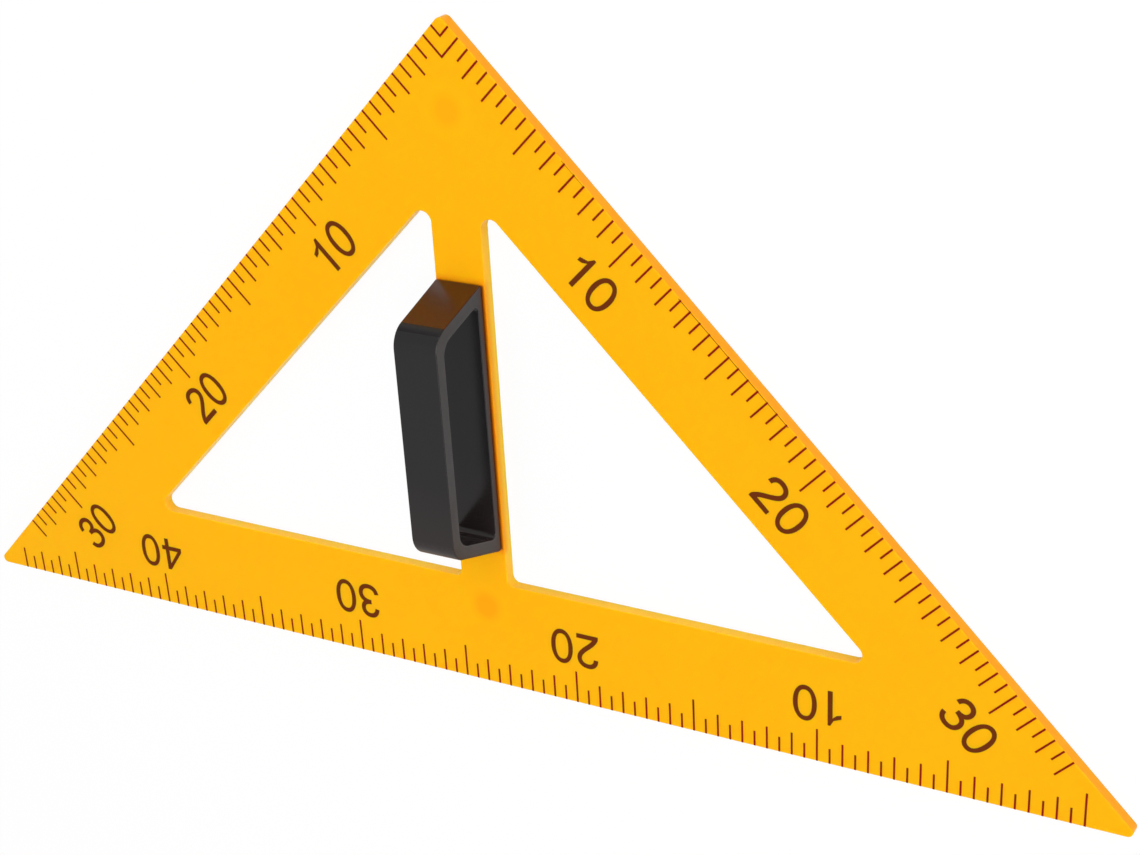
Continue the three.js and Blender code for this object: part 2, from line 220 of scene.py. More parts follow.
def rounded_outline(corners, steps):
    """A closed convex outline with round corners, counter-clockwise. The centre of a corner's arc lies
    on its bisector, one radius from both sides; the arc runs from one side's outward normal to the
    next side's. Gives the points and their outward normals."""
    places = np.array([corner[:2] for corner in corners], float)
    radii = np.array([corner[2] for corner in corners], float)
    arriving = unit(places - np.roll(places, 1, axis=0))
    leaving = np.roll(arriving, -1, axis=0)
    before = np.stack([arriving[:, 1], -arriving[:, 0]], axis=-1)
    after = np.stack([leaving[:, 1], -leaving[:, 0]], axis=-1)
    cosine = np.sum(before * after, axis=-1)
    centres = places - (before + after) * (radii / (1 + cosine))[:, None]
    start = np.arctan2(before[:, 1], before[:, 0])
    angles = start[:, None] + np.arccos(cosine)[:, None] * np.linspace(0, 1, steps + 1)
    normals = np.stack([np.cos(angles), np.sin(angles)], axis=-1)
    points = centres[:, None] + radii[:, None, None] * normals
    return points.reshape(-1, 2), normals.reshape(-1, 2)


# Finishes


def linear(hex_colour):
    """A colour written as sRGB hex, turned to linear light by the curve of the sRGB standard."""
    shares = [int(hex_colour[index:index + 2], 16) / 255 for index in (1, 3, 5)]
    return [share / 12.92 if share <= 0.04045 else ((share + 0.055) / 1.055) ** 2.4 for share in shares] + [1]


def add(tree, kind, inputs=None, **settings):
    """Adds a node, sets its settings, and fills each input with a value or links it to an output."""
    node = tree.nodes.new(kind)
    for name, value in settings.items():
        setattr(node, name, value)
    for socket, value in (inputs or {}).items():
        if isinstance(value, bpy.types.NodeSocket):
            tree.links.new(value, node.inputs[socket])
        else:
            node.inputs[socket].default_value = value
    return node


def new_material(name):
    """An empty material with its node tree, its output, and the piece's own coordinates in metres."""
    material = bpy.data.materials.new(name)
    material.use_nodes = True
    tree = material.node_tree
    tree.nodes.clear()
    output = add(tree, "ShaderNodeOutputMaterial")
    place = add(tree, "ShaderNodeTexCoord").outputs["Object"]
    return material, tree, output, place


def spots(grain_mm):
    """The texture scale at which one grain is this many millimetres across."""
    return 1 / (grain_mm * MM)


def noise(tree, place, grain_mm, detail):
    """Soft noise from 0 to 1, mostly near its middle."""
    return add(tree, "ShaderNodeTexNoise", {
        "Vector": place, "Scale": spots(grain_mm), "Detail": detail,
    }).outputs["Fac"]


def maths(tree, operation, *values, **settings):
    """One step of arithmetic on numbers."""
    return add(tree, "ShaderNodeMath", dict(enumerate(values)), operation=operation, **settings).outputs[0]


def vector_maths(tree, operation, *values):
    """One step of arithmetic on vectors. A length or a distance comes out as a number."""
    node = add(tree, "ShaderNodeVectorMath", dict(enumerate(values)), operation=operation)
    return node.outputs["Value" if operation in ("LENGTH", "DISTANCE") else "Vector"]


def parts(tree, vector):
    """A vector's three numbers."""
    return add(tree, "ShaderNodeSeparateXYZ", {0: vector}).outputs


def ramp(tree, value, start, end, at_start, at_end, **settings):
    """A level that runs from one value to another while a measure runs from its start to its end."""
    return add(tree, "ShaderNodeMapRange", {
        "Value": value, "From Min": start, "From Max": end, "To Min": at_start, "To Max": at_end,
    }, **settings).outputs[0]


def blend(tree, share, colour, other):
    """A colour mixed with this share of another. Each is an output of a node, or hex."""
    first, second = (linear(part) if isinstance(part, str) else part for part in (colour, other))
    return add(tree, "ShaderNodeMix", {"Factor": share, 6: first, 7: second}, data_type="RGBA").outputs[2]


# Plastic's clouds and wiped patches, in millimetres, and the stretch that holds most of a noise
CLOUD_MM = 45
WIPED_MM = 12
MOST_NOISE = (0.3, 0.7)


def moulded_plastic(name, colour, deeper, roughness, rough_change, grain_mm, grain_depth_mm, ior):
    """Injection-moulded plastic: an even colour that clouds very slightly, a satin gloss that changes
    a little from place to place, and the fine grain of the mould."""
    material, tree, output, place = new_material(name)
    tone = blend(tree, noise(tree, place, CLOUD_MM, detail=2), colour, deeper)
    wiped = noise(tree, place, WIPED_MM, detail=4)
    gloss = ramp(tree, wiped, *MOST_NOISE, roughness - rough_change, roughness + rough_change)
    bump = add(tree, "ShaderNodeBump", {
        "Height": noise(tree, place, grain_mm, detail=3), "Strength": 1.0,
        "Distance": grain_depth_mm * MM,
    })
    shader = add(tree, "ShaderNodeBsdfPrincipled", {
        "Base Color": tone, "Roughness": gloss, "Normal": bump.outputs[0], "IOR": ior,
    })
    tree.links.new(shader.outputs[0], output.inputs["Surface"])
    return material, tree, place, tone, shader


# Light inside the plate's plastic: its weight in the open and over a magnet, how deep it goes in
# millimetres, and how far each of red, green and blue goes
PLATE_GLOW = 0.8
DISC_GLOW = 0.1
GLOW_DEPTH = 4
GLOW_REACH = (1, 0.3, 0.08)

# The painted shade of each magnet under the thin plastic, a darker disc: how strong it is, and the
# shares of the magnet's radius between which the painted shade fades out and the light inside comes back
DISC_PAINTED_SHADE_COLOUR = "#ff9300"
DISC_PAINTED_SHADES = {"upper_magnet": 0.4, "lower_magnet": 0.5}
DISC_FADE_SHARES = (0.6, 1.4)
DISC_GLOW_SHARES = (1.2, 1.8)

# Painted light and shade on the plate's walls: those of the windows painted paler, and those less than
# this depth inside the two short sides painted deeper, for how the light falls on them.
# The face turns into wall as its normal's upright part falls from the second value to the first
WINDOW_WALL_PAINTED_LIGHT = "#ffc12e"
SIDE_WALL_PAINTED_SHADE = "#fa9f0c"
SIDE_WALL_DEPTH = 3
WALL_TURN = (0.2, 0.95)

# Shades round the handle's foot: full up to the first distance, and gone at the second
CONTACT_SHADES = ((0.5, 3.2, "#f29207"), (-0.1, 0.8, "#8a3a02"))


def plate_finish():
    """Orange ABS: an almost even orange-yellow with a soft gloss, and a little light passes through it.
    Painted on it are the shade of each magnet under the thin plastic, as a faint darker disc; light on
    the windows' walls, as a paler orange, and shade on the short sides' walls, as a deeper one; and at
    the handle's foot a dark line of shade with a soft orange one round it."""
    material, tree, place, colour, shader = moulded_plastic(
        "moulded_orange_abs", "#ffb402", "#ffb101", roughness=0.34, rough_change=0.03, grain_mm=0.9,
        grain_depth_mm=0.004, ior=1.2,
    )
    shader.inputs["Subsurface Radius"].default_value = GLOW_REACH
    shader.inputs["Subsurface Scale"].default_value = GLOW_DEPTH * MM
    glow = PLATE_GLOW
    for name, y in MAGNET_PLACES.items():
        middle = (0, (y - PLATE_TOP / 2) * MM, PLATE_THICKNESS * MM)
        distance = vector_maths(tree, "DISTANCE", place, middle)
        start, end = (share * MAGNET_RADIUS * MM for share in DISC_FADE_SHARES)
        # Painted shade of the magnet: the plate's colour turns towards a darker orange over it
        colour = blend(tree, ramp(tree, distance, start, end, DISC_PAINTED_SHADES[name], 0), colour, DISC_PAINTED_SHADE_COLOUR)
        start, end = (share * MAGNET_RADIUS * MM for share in DISC_GLOW_SHARES)
        glow = maths(tree, "MINIMUM", glow, ramp(tree, distance, start, end, DISC_GLOW, PLATE_GLOW))
    tree.links.new(glow, shader.inputs["Subsurface Weight"])

    across, along, _ = parts(tree, place)
    reach = maths(tree, "ADD", maths(tree, "ABSOLUTE", across), along)
    outside = maths(tree, "GREATER_THAN", reach, (PLATE_HEIGHT - PLATE_TOP / 2 - SIDE_WALL_DEPTH) * MM)
    # Painted light on the windows' walls and painted shade on the short sides' walls
    painted_wall_colour = blend(tree, outside, WINDOW_WALL_PAINTED_LIGHT, SIDE_WALL_PAINTED_SHADE)
    _, _, facing_up = parts(tree, add(tree, "ShaderNodeNewGeometry").outputs["Normal"])
    wall = ramp(tree, maths(tree, "ABSOLUTE", facing_up), *WALL_TURN, 1, 0)
    colour = blend(tree, wall, colour, painted_wall_colour)

    foot_middle = (
        HANDLE_SHIFT * MM, (HANDLE_START + HANDLE_LENGTH / 2 - PLATE_TOP / 2) * MM, PLATE_THICKNESS * MM,
    )
    foot_half = (HANDLE_BASE_WIDTH / 2 * MM, (HANDLE_LENGTH / 2 - HANDLE_BASE_RADIUS) * MM, 0)
    offset = vector_maths(tree, "ABSOLUTE", vector_maths(tree, "SUBTRACT", place, foot_middle))
    beyond = vector_maths(tree, "MAXIMUM", vector_maths(tree, "SUBTRACT", offset, foot_half), (0, 0, 0))
    away = vector_maths(tree, "LENGTH", beyond)
    for near, far, shade_colour in CONTACT_SHADES:
        colour = blend(tree, ramp(tree, away, near * MM, far * MM, 1, 0), colour, shade_colour)
    tree.links.new(colour, shader.inputs["Base Color"])
    return material


# Between which distances the handle's painted bounce light fades out: a warmer, paler tone from its
# lower end and a browner one above the plate, for the orange light that comes off the plate
LOW_END_BOUNCE_FADE = (4, 40)
FOOT_BOUNCE_FADE = (0.5, 2.5)


def with_painted_bounce_light(plastic, low_end_bounce_colour, foot_bounce_colour):
    """The handle's black with painted bounce light from the orange plate: warmer and paler towards its
    lower end, and browner right above the plate.
    """
    material, tree, place, colour, shader = plastic
    _, along, height = parts(tree, place)
    low_end = HANDLE_START - PLATE_TOP / 2
    for measure, zero, (start, end), bounce_colour in (
        (along, low_end, LOW_END_BOUNCE_FADE, low_end_bounce_colour), (height, PLATE_THICKNESS, FOOT_BOUNCE_FADE, foot_bounce_colour),
    ):
        share = ramp(tree, measure, (zero + start) * MM, (zero + end) * MM, 1, 0)
        colour = blend(tree, share, colour, bounce_colour)
    tree.links.new(colour, shader.inputs["Base Color"])
    return material


def handle_outer_finish():
    """Black ABS as it left the mould: a satin gloss that shows the studio's white softly, with painted
    orange bounce light towards its lower end and above the plate.
    """
    plastic = moulded_plastic(
        "moulded_black_abs", "#1c1a1b", "#191718", roughness=0.17, rough_change=0.02, grain_mm=0.7,
        grain_depth_mm=0.003, ior=1.5,
    )
    # Painted bounce light: warmer tones at the lower end and above the plate
    return with_painted_bounce_light(plastic, "#2b2322", "#2b2322")


def handle_side_finish():
    """The handle's flat sides and its lower end: a matt, even grey-black, with painted bounce light: warmer
    towards its lower end, and a brown edge above the plate where orange light comes up from it."""
    plastic = moulded_plastic(
        "trimmed_black_abs", "#221f21", "#1f1c1e", roughness=0.5, rough_change=0.05, grain_mm=0.5,
        grain_depth_mm=0.01, ior=1.5,
    )
    return with_painted_bounce_light(plastic, "#2a1f1b", "#40240f")


def handle_end_painted_reflection_finish():
    """The end face that leans to the right angle: a smooth black-brown that mirrors the plate, with a
    painted warm reflection of it in its brown base and its orange specular tint.
    """
    material, _, _, _, shader = moulded_plastic(
        "black_abs_end_painted_reflection", "#1b1210", "#19100e", roughness=0.24, rough_change=0.03, grain_mm=0.7,
        grain_depth_mm=0.003, ior=1.7,
    )
    # Painted reflection: an orange tint on every reflection of this face, over a brown base
    shader.inputs["Specular Tint"].default_value = (1, 0.45, 0.3, 1)
    return material


def handle_shoulder_finish():
    """The shoulder above that end: rubbed duller by hands, so no light streak runs along it."""
    material, *_ = moulded_plastic(
        "handled_black_abs", "#1a1819", "#181617", roughness=0.3, rough_change=0.03, grain_mm=0.7,
        grain_depth_mm=0.003, ior=1.3,
    )
    return material


# The mottle of ink and zinc, and the ferrite's pores: their spacing, their depth, and how far out from
# its middle a pore reaches, as a share of the spacing
INK_MOTTLE_MM = 0.8
ZINC_MOTTLE_MM = 0.6
ZINC_ROUGHNESS = (0.22, 0.42)
FERRITE_PORE_MM = 0.7
FERRITE_PORE_DEPTH_MM = 0.03
FERRITE_PORE_SHARE = 0.35


def ink_finish(name, colour, deeper):
    """Screen-printing ink on plastic: a thin dark film, drier and duller than the plastic, that is
    mottled where the screen laid a little less of it."""
    material, tree, output, place = new_material(name)
    shader = add(tree, "ShaderNodeBsdfPrincipled", {
        "Base Color": blend(tree, noise(tree, place, INK_MOTTLE_MM, detail=3), colour, deeper),
        "Roughness": 0.6, "IOR": 1.33, "Specular IOR Level": 0.15,
    })
    tree.links.new(shader.outputs[0], output.inputs["Surface"])
    return material


def zinc_finish():
    """Zinc-plated steel: bright grey metal with a fine mottle of bluish plating."""
    material, tree, output, place = new_material("zinc_plated_steel")
    mottle = noise(tree, place, ZINC_MOTTLE_MM, detail=4)
    shader = add(tree, "ShaderNodeBsdfPrincipled", {
        "Base Color": blend(tree, mottle, "#c4c7cb", "#a3a9b3"),
        "Roughness": ramp(tree, mottle, 0, 1, *ZINC_ROUGHNESS), "Metallic": 1,
    })
    tree.links.new(shader.outputs[0], output.inputs["Surface"])
    return material


def ferrite_finish():
    """Sintered ferrite: dark grey ceramic with a dull sheen, ground on its flat faces, and a fine
    pepper of pores."""
    material, tree, output, place = new_material("sintered_ferrite")
    pores = add(tree, "ShaderNodeTexVoronoi", {"Vector": place, "Scale": spots(FERRITE_PORE_MM)})
    pitted = ramp(tree, pores.outputs["Distance"], 0, FERRITE_PORE_SHARE, 0, 1)
    bump = add(tree, "ShaderNodeBump", {
        "Height": pitted, "Strength": 0.6, "Distance": FERRITE_PORE_DEPTH_MM * MM,
    })
    shader = add(tree, "ShaderNodeBsdfPrincipled", {
        "Base Color": blend(tree, pitted, "#232426", "#414246"), "Roughness": 0.46,
        "Normal": bump.outputs[0], "IOR": 2.0,
    })
    tree.links.new(shader.outputs[0], output.inputs["Surface"])
    return material


# Plate


def rim_profile(radius, thickness, steps):
    """How far each ring of a rim lies outside the outline, its height, and its normal's outward and
    upward parts: a quarter circle from the face, a straight wall and a quarter circle to the back."""
    turn = np.linspace(pi / 2, 0, steps + 1)
    out = np.concatenate([np.cos(turn), np.cos(turn[::-1])])[:, None]
    up = np.concatenate([np.sin(turn), -np.sin(turn[::-1])])[:, None]
    facewards = (np.arange(2 * steps + 2) <= steps)[:, None]
    reach = radius * (out - 1)
    height = np.where(facewards, thickness - radius, radius) + radius * up
    return reach, height, out, up


def rim(outline, outward, radius, thickness, steps):
    """Rings of points and normals that carry the rim's profile along an outline."""
    reach, height, out, up = rim_profile(radius, thickness, steps)
    flat = outline[None] + outward[None] * reach[..., None]
    normals = np.concatenate([
        outward[None] * out[..., None], np.broadcast_to(up[..., None], flat.shape[:2] + (1,))
    ], axis=-1)
    return np.concatenate([flat, height[..., None]], axis=-1), normals


def edge_radius(outward):
    """The rounding of the plate's edge by the way its wall looks: it grows from sharp to worn as the
    wall turns towards +X and +Y."""
    turned_there = np.clip(np.asarray(outward).sum(axis=-1) / sqrt(2), 0, 1)
    return PLATE_EDGE_RADIUS + (PLATE_WORN_EDGE_RADIUS - PLATE_EDGE_RADIUS) * turned_there


def circle(radius, y):
    """A ring of points round a place on the plate's middle line."""
    angle = 2 * pi * np.arange(ROUND_STEPS) / ROUND_STEPS
    return np.stack([radius * np.cos(angle), y + radius * np.sin(angle)], axis=-1)


def build_plate(material):
    """The plate: a round-edged rim along its outline and along both windows, a flat face and back
    between the rims, blind pockets for the magnets and stepped holes for the screws."""
    points, normals, faces = [], [], []
    face_loops, back_loops, face_firsts, back_firsts = [], [], [], []

    def add_rings(rings, ring_normals, outwards):
        """A wall between rings of points, turned to face outwards from the rings' middle or inwards."""
        first = sum(len(part) for part in points)
        points.append(rings.reshape(-1, 3))
        normals.append(ring_normals.reshape(-1, 3))
        quads = grid_faces(len(rings), rings.shape[1], first)
        faces.append(quads[:, ::-1] if outwards else quads)
        return first

    corners = [
        (-HALF_LONG_SIDE, 0, PLATE_TIP_RADIUS), (HALF_LONG_SIDE, 0, PLATE_TIP_RADIUS),
        (0, PLATE_HEIGHT, RIGHT_ANGLE_RADIUS),
    ]
    window = [
        (BAR_WIDTH / 2, LONG_BAND_WIDTH, WINDOW_SQUARE_RADIUS),
        (WINDOW_REACH - LONG_BAND_WIDTH, LONG_BAND_WIDTH, WINDOW_TIP_RADIUS),
        (BAR_WIDTH / 2, WINDOW_REACH - BAR_WIDTH / 2, WINDOW_TOP_RADIUS),
    ]
    mirrored = [(-x, y, radius) for x, y, radius in reversed(window)]
    for shape, side in ((corners, 1), (window, -1), (mirrored, -1)):
        outline, normal = rounded_outline(shape, CORNER_STEPS)
        outward = side * normal
        rings, ring_normals = rim(outline, outward, edge_radius(outward), PLATE_THICKNESS, RIM_STEPS)
        first = add_rings(rings, ring_normals, side > 0)
        face_loops.append(rings[0, :, :2])
        face_firsts.append(first)
        back_loops.append(rings[-1, :, :2])
        back_firsts.append(first + (len(rings) - 1) * rings.shape[1])

    def add_bore(radius, y, low, high):
        """A straight bore between two heights; its normals point at its axis."""
        ring = circle(radius, y)
        inward = unit((0, y) - ring)
        rings = np.stack([np.column_stack([ring, np.full(len(ring), z)]) for z in (low, high)])
        add_rings(rings, np.stack([np.column_stack([inward, 0 * inward[:, :1]])] * 2), True)
        return ring

    def add_loop(loop, z, upwards):
        """An edge of a flat area, with points of its own so that the edge stays sharp."""
        first = sum(len(part) for part in points)
        points.append(np.column_stack([loop, np.full(len(loop), z)]))
        normals.append(np.tile((0, 0, 1.0 if upwards else -1.0), (len(loop), 1)))
        return first

    def add_level(loops, z, upwards):
        """A flat ring or disc at one height."""
        faces.append(flat_faces(loops, [add_loop(loop, z, upwards) for loop in loops], upwards))

    holes = []
    for y in MAGNET_PLACES.values():
        ring = add_bore(MAGNET_RADIUS + MAGNET_CLEARANCE, y, 0, MAGNET_SINK + MAGNET_THICKNESS)
        add_level([ring], MAGNET_SINK + MAGNET_THICKNESS, False)
        holes.append(ring)
    face_holes = []
    for y in SCREW_PLACES.values():
        wide = add_bore(SCREW_HEAD_RADIUS + SCREW_CLEARANCE, y, 0, COUNTERBORE_DEPTH)
        narrow = add_bore(SCREW_SHANK_RADIUS + SCREW_CLEARANCE, y, COUNTERBORE_DEPTH, PLATE_THICKNESS)
        add_level([wide, narrow], COUNTERBORE_DEPTH, False)
        holes.append(wide)
        face_holes.append(narrow)
    for loops, firsts, extra, z, upwards in (
        (face_loops, face_firsts, face_holes, PLATE_THICKNESS, True),
        (back_loops, back_firsts, holes, 0, False),
    ):
        firsts = firsts + [add_loop(loop, z, upwards) for loop in extra]
        faces.append(flat_faces(loops + extra, firsts, upwards))
    return make_piece(
        "plate_moulding", np.concatenate(points), faces, [material], ["set_square_plate"],
        normals=np.concatenate(normals),
    )


# Handle


def handle_outline(wall, low, high, grip_radius, base_radius):
    """A closed outline of the handle in the plane of Y and Z, whose ends lean inwards with height."""
    slant = HANDLE_END_SLANT / HANDLE_HEIGHT
    start, end = HANDLE_START + wall, HANDLE_START + HANDLE_LENGTH - wall
    return rounded_outline([
        (start + slant * low, low, base_radius), (end - slant * low, low, base_radius),
        (end - slant * high, high, grip_radius), (start + slant * high, high, grip_radius),
    ], HANDLE_CORNER_STEPS)


# The handle's finishes by number. Round its outline, each corner has HANDLE_CORNER_STEPS stretches and
# one more leads to the next corner; the corners are lower foot, upper foot, upper and lower shoulder.
# The upper shoulder is dull over its first stretches, and the lower one matt after its first ones
OUTER_FINISH, SIDE_FINISH, END_FINISH, SHOULDER_FINISH = range(4)
DULL_SHOULDER_STEPS = 7
GLOSSY_SHOULDER_STEPS = 3


def build_handle(materials):
    """The ring: at each step along its outline, the section runs over the outer face, round an edge,
    down one side, round an edge, back over the finger face and up the other side. Its width shrinks
    with height by the draft, and its outer edges are rounder where they look down or towards -Y."""
    outer, outer_normal = handle_outline(0, 0, HANDLE_HEIGHT, HANDLE_GRIP_RADIUS, HANDLE_BASE_RADIUS)
    inner, inner_normal = handle_outline(
        HANDLE_END_WALL, HANDLE_BASE_WALL, HANDLE_HEIGHT - HANDLE_GRIP_WALL, FINGER_GRIP_RADIUS,
        FINGER_BASE_RADIUS,
    )
    inner_normal = -inner_normal
    turn = np.linspace(0, pi / 2, HANDLE_RIM_STEPS + 1)
    out, side = np.cos(turn), np.sin(turn)
    sections = []
    edge = np.full(len(inner), HANDLE_EDGE_RADIUS)
    turned_away = np.clip(-outer_normal.min(axis=1), 0, 1)
    foot = HANDLE_EDGE_RADIUS + (HANDLE_FOOT_RADIUS - HANDLE_EDGE_RADIUS) * turned_away
    for outline, normal, radius, order, sign in (
        (outer, outer_normal, foot, 1, 1), (inner, inner_normal, edge, -1, 1),
        (inner, inner_normal, edge, 1, -1), (outer, outer_normal, foot, -1, -1),
    ):
        out_part, side_part = out[::order, None, None], sign * side[::order, None]
        flat = outline[None] + radius[:, None] * (out_part - 1) * normal[None]
        across = sign * (HANDLE_BASE_WIDTH / 2 - radius) + radius * side_part
        sections.append((
            np.concatenate([across[..., None], flat], axis=-1),
            np.concatenate([
                np.broadcast_to(side_part, flat.shape[:2])[..., None], out_part * normal[None]
            ], axis=-1),
        ))
    points = np.concatenate([part for part, _ in sections]).transpose(1, 0, 2)
    normals = np.concatenate([part for _, part in sections]).transpose(1, 0, 2)
    steps, around = points.shape[:2]
    shrink = 2 * HANDLE_DRAFT / HANDLE_BASE_WIDTH / HANDLE_HEIGHT
    narrowing = 1 - shrink * points[..., 2]
    normals = np.stack([
        normals[..., 0] / narrowing, normals[..., 1],
        normals[..., 2] + normals[..., 0] * points[..., 0] * shrink / narrowing,
    ], axis=-1)
    points = np.stack([
        points[..., 0] * narrowing + HANDLE_SHIFT, points[..., 1], points[..., 2] + PLATE_THICKNESS
    ], axis=-1)
    closed = np.concatenate([points, points[:1]])
    quads = grid_faces(steps + 1, around) % (steps * around)
    edge_points = HANDLE_RIM_STEPS + 1
    side_columns = np.isin(np.arange(around), [edge_points - 1, 3 * edge_points - 1])
    finishes = np.where(np.tile(side_columns, (steps, 1)), SIDE_FINISH, OUTER_FINISH)
    outer_columns = np.r_[0:edge_points - 1, 3 * edge_points:around]
    upper_shoulder, lower_shoulder = 2 * (HANDLE_CORNER_STEPS + 1), 3 * (HANDLE_CORNER_STEPS + 1)
    finishes[upper_shoulder - 1, outer_columns] = END_FINISH
    finishes[upper_shoulder:upper_shoulder + DULL_SHOULDER_STEPS, outer_columns] = SHOULDER_FINISH
    finishes[lower_shoulder + GLOSSY_SHOULDER_STEPS:, outer_columns] = SIDE_FINISH
    return make_piece(
        "handle_moulding", closed[:-1].reshape(-1, 3), [quads[:, ::-1]], materials,
        ["handle"], normals=normals.reshape(-1, 3), finishes=finishes.reshape(-1),
    )


# Screws and magnets


def turned(profile, y, steps=ROUND_STEPS):
    """A profile of radii and heights turned about the upright axis at this place on the middle line;
    its first and last points lie on the axis, and each becomes one point."""
    profile = np.asarray(profile, float)
    angle = 2 * pi * np.arange(steps) / steps
    ring = np.stack([np.cos(angle), np.sin(angle)], axis=-1)
    middle = profile[1:-1]
    rings = np.concatenate([
        middle[:, None, :1] * ring[None], np.broadcast_to(middle[:, None, 1:], (len(middle), steps, 1))
    ], axis=-1)
    ends = np.array([[0, 0, profile[0, 1]], [0, 0, profile[-1, 1]]])
    points = np.concatenate([rings.reshape(-1, 3), ends]) + (0, y, 0)
    number, after = np.arange(steps), (np.arange(steps) + 1) % steps
    last = (len(middle) - 1) * steps
    bottom = np.stack([after, number, np.full(steps, len(points) - 2)], axis=-1)
    top = np.stack([last + number, last + after, np.full(steps, len(points) - 1)], axis=-1)
    return points, [grid_faces(len(middle), steps), bottom, top]


def build_magnet(name, y, material):
    """A flat disc with its edges chamfered."""
    low, high = MAGNET_SINK, MAGNET_SINK + MAGNET_THICKNESS
    inner = MAGNET_RADIUS - MAGNET_CHAMFER
    points, faces = turned([
        (0, low), (inner, low), (MAGNET_RADIUS, low + MAGNET_CHAMFER),
        (MAGNET_RADIUS, high - MAGNET_CHAMFER), (inner, high), (0, high),
    ], y)
    return make_piece(
        f"{name}_disc", points, faces, [material], [name], sharp=TURNED_SHARP_ANGLE
    )


def build_screw(name, y, material):
    """A pan-head screw seen from the back: the head's face is a fine grid of rings, pushed in by a
    cross-shaped recess whose walls slope; the rim is rounded, and the shank ends in a cone."""
    radii = np.linspace(0, SCREW_HEAD_RADIUS - SCREW_HEAD_ROUNDING, SCREW_FACE_RINGS)
    turn = np.linspace(0, pi / 2, SCREW_ROUNDING_STEPS + 1)[1:]
    rim_radii = SCREW_HEAD_RADIUS - SCREW_HEAD_ROUNDING + SCREW_HEAD_ROUNDING * np.sin(turn)
    rim_heights = SCREW_HEAD_SINK + SCREW_HEAD_ROUNDING * (1 - np.cos(turn))
    profile = [(0, SCREW_HEAD_SINK)]
    profile += [(radius, SCREW_HEAD_SINK) for radius in radii[1:]]
    profile += list(zip(rim_radii, rim_heights))
    profile += [
        (SCREW_HEAD_RADIUS, COUNTERBORE_DEPTH), (SCREW_SHANK_RADIUS, COUNTERBORE_DEPTH),
        (SCREW_SHANK_RADIUS, SCREW_TIP - SCREW_TIP_LENGTH), (0, SCREW_TIP),
    ]
    points, faces = turned(profile, y, SCREW_STEPS)
    x, z = np.abs(points[:, 0]), points[:, 2]
    across = np.abs(points[:, 1] - y)
    long, short = np.maximum(x, across), np.minimum(x, across)
    side = np.clip((SCREW_RECESS_HALF_WIDTH + SCREW_RECESS_SLOPE - short) / SCREW_RECESS_SLOPE, 0, 1)
    end = np.clip((SCREW_RECESS_REACH - long) / SCREW_RECESS_SLOPE, 0, 1)
    pushed = (z <= SCREW_HEAD_SINK) * SCREW_RECESS_DEPTH * np.minimum(side, end)
    points[:, 2] = z + pushed
    return make_piece(
        f"{name}_steel", points, faces, [material], [name], sharp=TURNED_SHARP_ANGLE
    )


# Printed scales


class Side:
    """One side's print: its own axes run along the side and from the sharp edge into the plate. The
    scale counts along the side (1) or against it (-1), from its start."""

    def __init__(self, name, corner, turn, counting, start, marks):
        self.name = name
        self.corner = np.array(corner)
        self.along = np.array([cos(turn), sin(turn)])
        self.inward = np.array([-sin(turn), cos(turn)])
        self.counting = counting
        self.start = start
        self.marks = marks

    def place(self, along, inward):
        """Plate coordinates of points given along the side and inwards from its edge."""
        return self.corner + np.multiply.outer(along, self.along) + np.multiply.outer(inward, self.inward)


LEG_MARKS = range(CORNER_MARKS + 1, LEG_LAST_MARK + 1)
SIDES = [
    Side("left_leg", (0, PLATE_HEIGHT), -3 * pi / 4, 1, 0, LEG_MARKS),
    Side("right_leg", (0, PLATE_HEIGHT), 3 * pi / 4, -1, 0, LEG_MARKS),
    Side("long_side", (HALF_LONG_SIDE, 0), 0, -1, LONG_SCALE_START, range(LONG_SIDE_LAST_MARK + 1)),
]


def drape(outward):
    """A mark's path over the edge, from the flat to its end on the rounding: its distance from the
    plate's outline, its height, and its normal's outward and upward parts."""
    radius = edge_radius(outward)
    out = np.linspace(0, MARK_OVER_EDGE_SHARE, DRAPE_STEPS + 1)
    up = np.sqrt(1 - out ** 2)
    return radius * (1 - out), PLATE_THICKNESS - radius * (1 - up), out, up


def ribbons(centres, halves, outward, heights, out, up):
    """Closed ribbons of ink. Each has a row of sections along its path, and a section has four
    corners: left and right on top of the ink, and right and left just under the plate's surface."""
    corners = []
    for side, lift in ((1, INK_THICKNESS), (-1, INK_THICKNESS), (-1, -INK_SINK), (1, -INK_SINK)):
        flat = centres + side * halves + outward * (out * lift)[..., None]
        corners.append(np.concatenate([flat, (heights + up * lift)[..., None]], axis=-1))
    points = np.stack(corners, axis=-2)
    count, steps = points.shape[:2]
    walls = grid_faces(steps, 4)
    ends = np.array([[0, 1, 2, 3], np.arange(4 * steps - 1, 4 * steps - 5, -1)])
    one = np.concatenate([walls, ends])
    faces = one[None] + (4 * steps * np.arange(count))[:, None, None]
    return points.reshape(-1, 3), faces.reshape(-1, 4)


def outward_faces(points, faces, outward):
    """Turns all faces round where the first one doesn't look the given way."""
    corner = points[faces[0]]
    normal = np.cross(corner[1] - corner[0], corner[2] - corner[1])
    return faces if np.dot(normal, outward) > 0 else faces[:, ::-1]


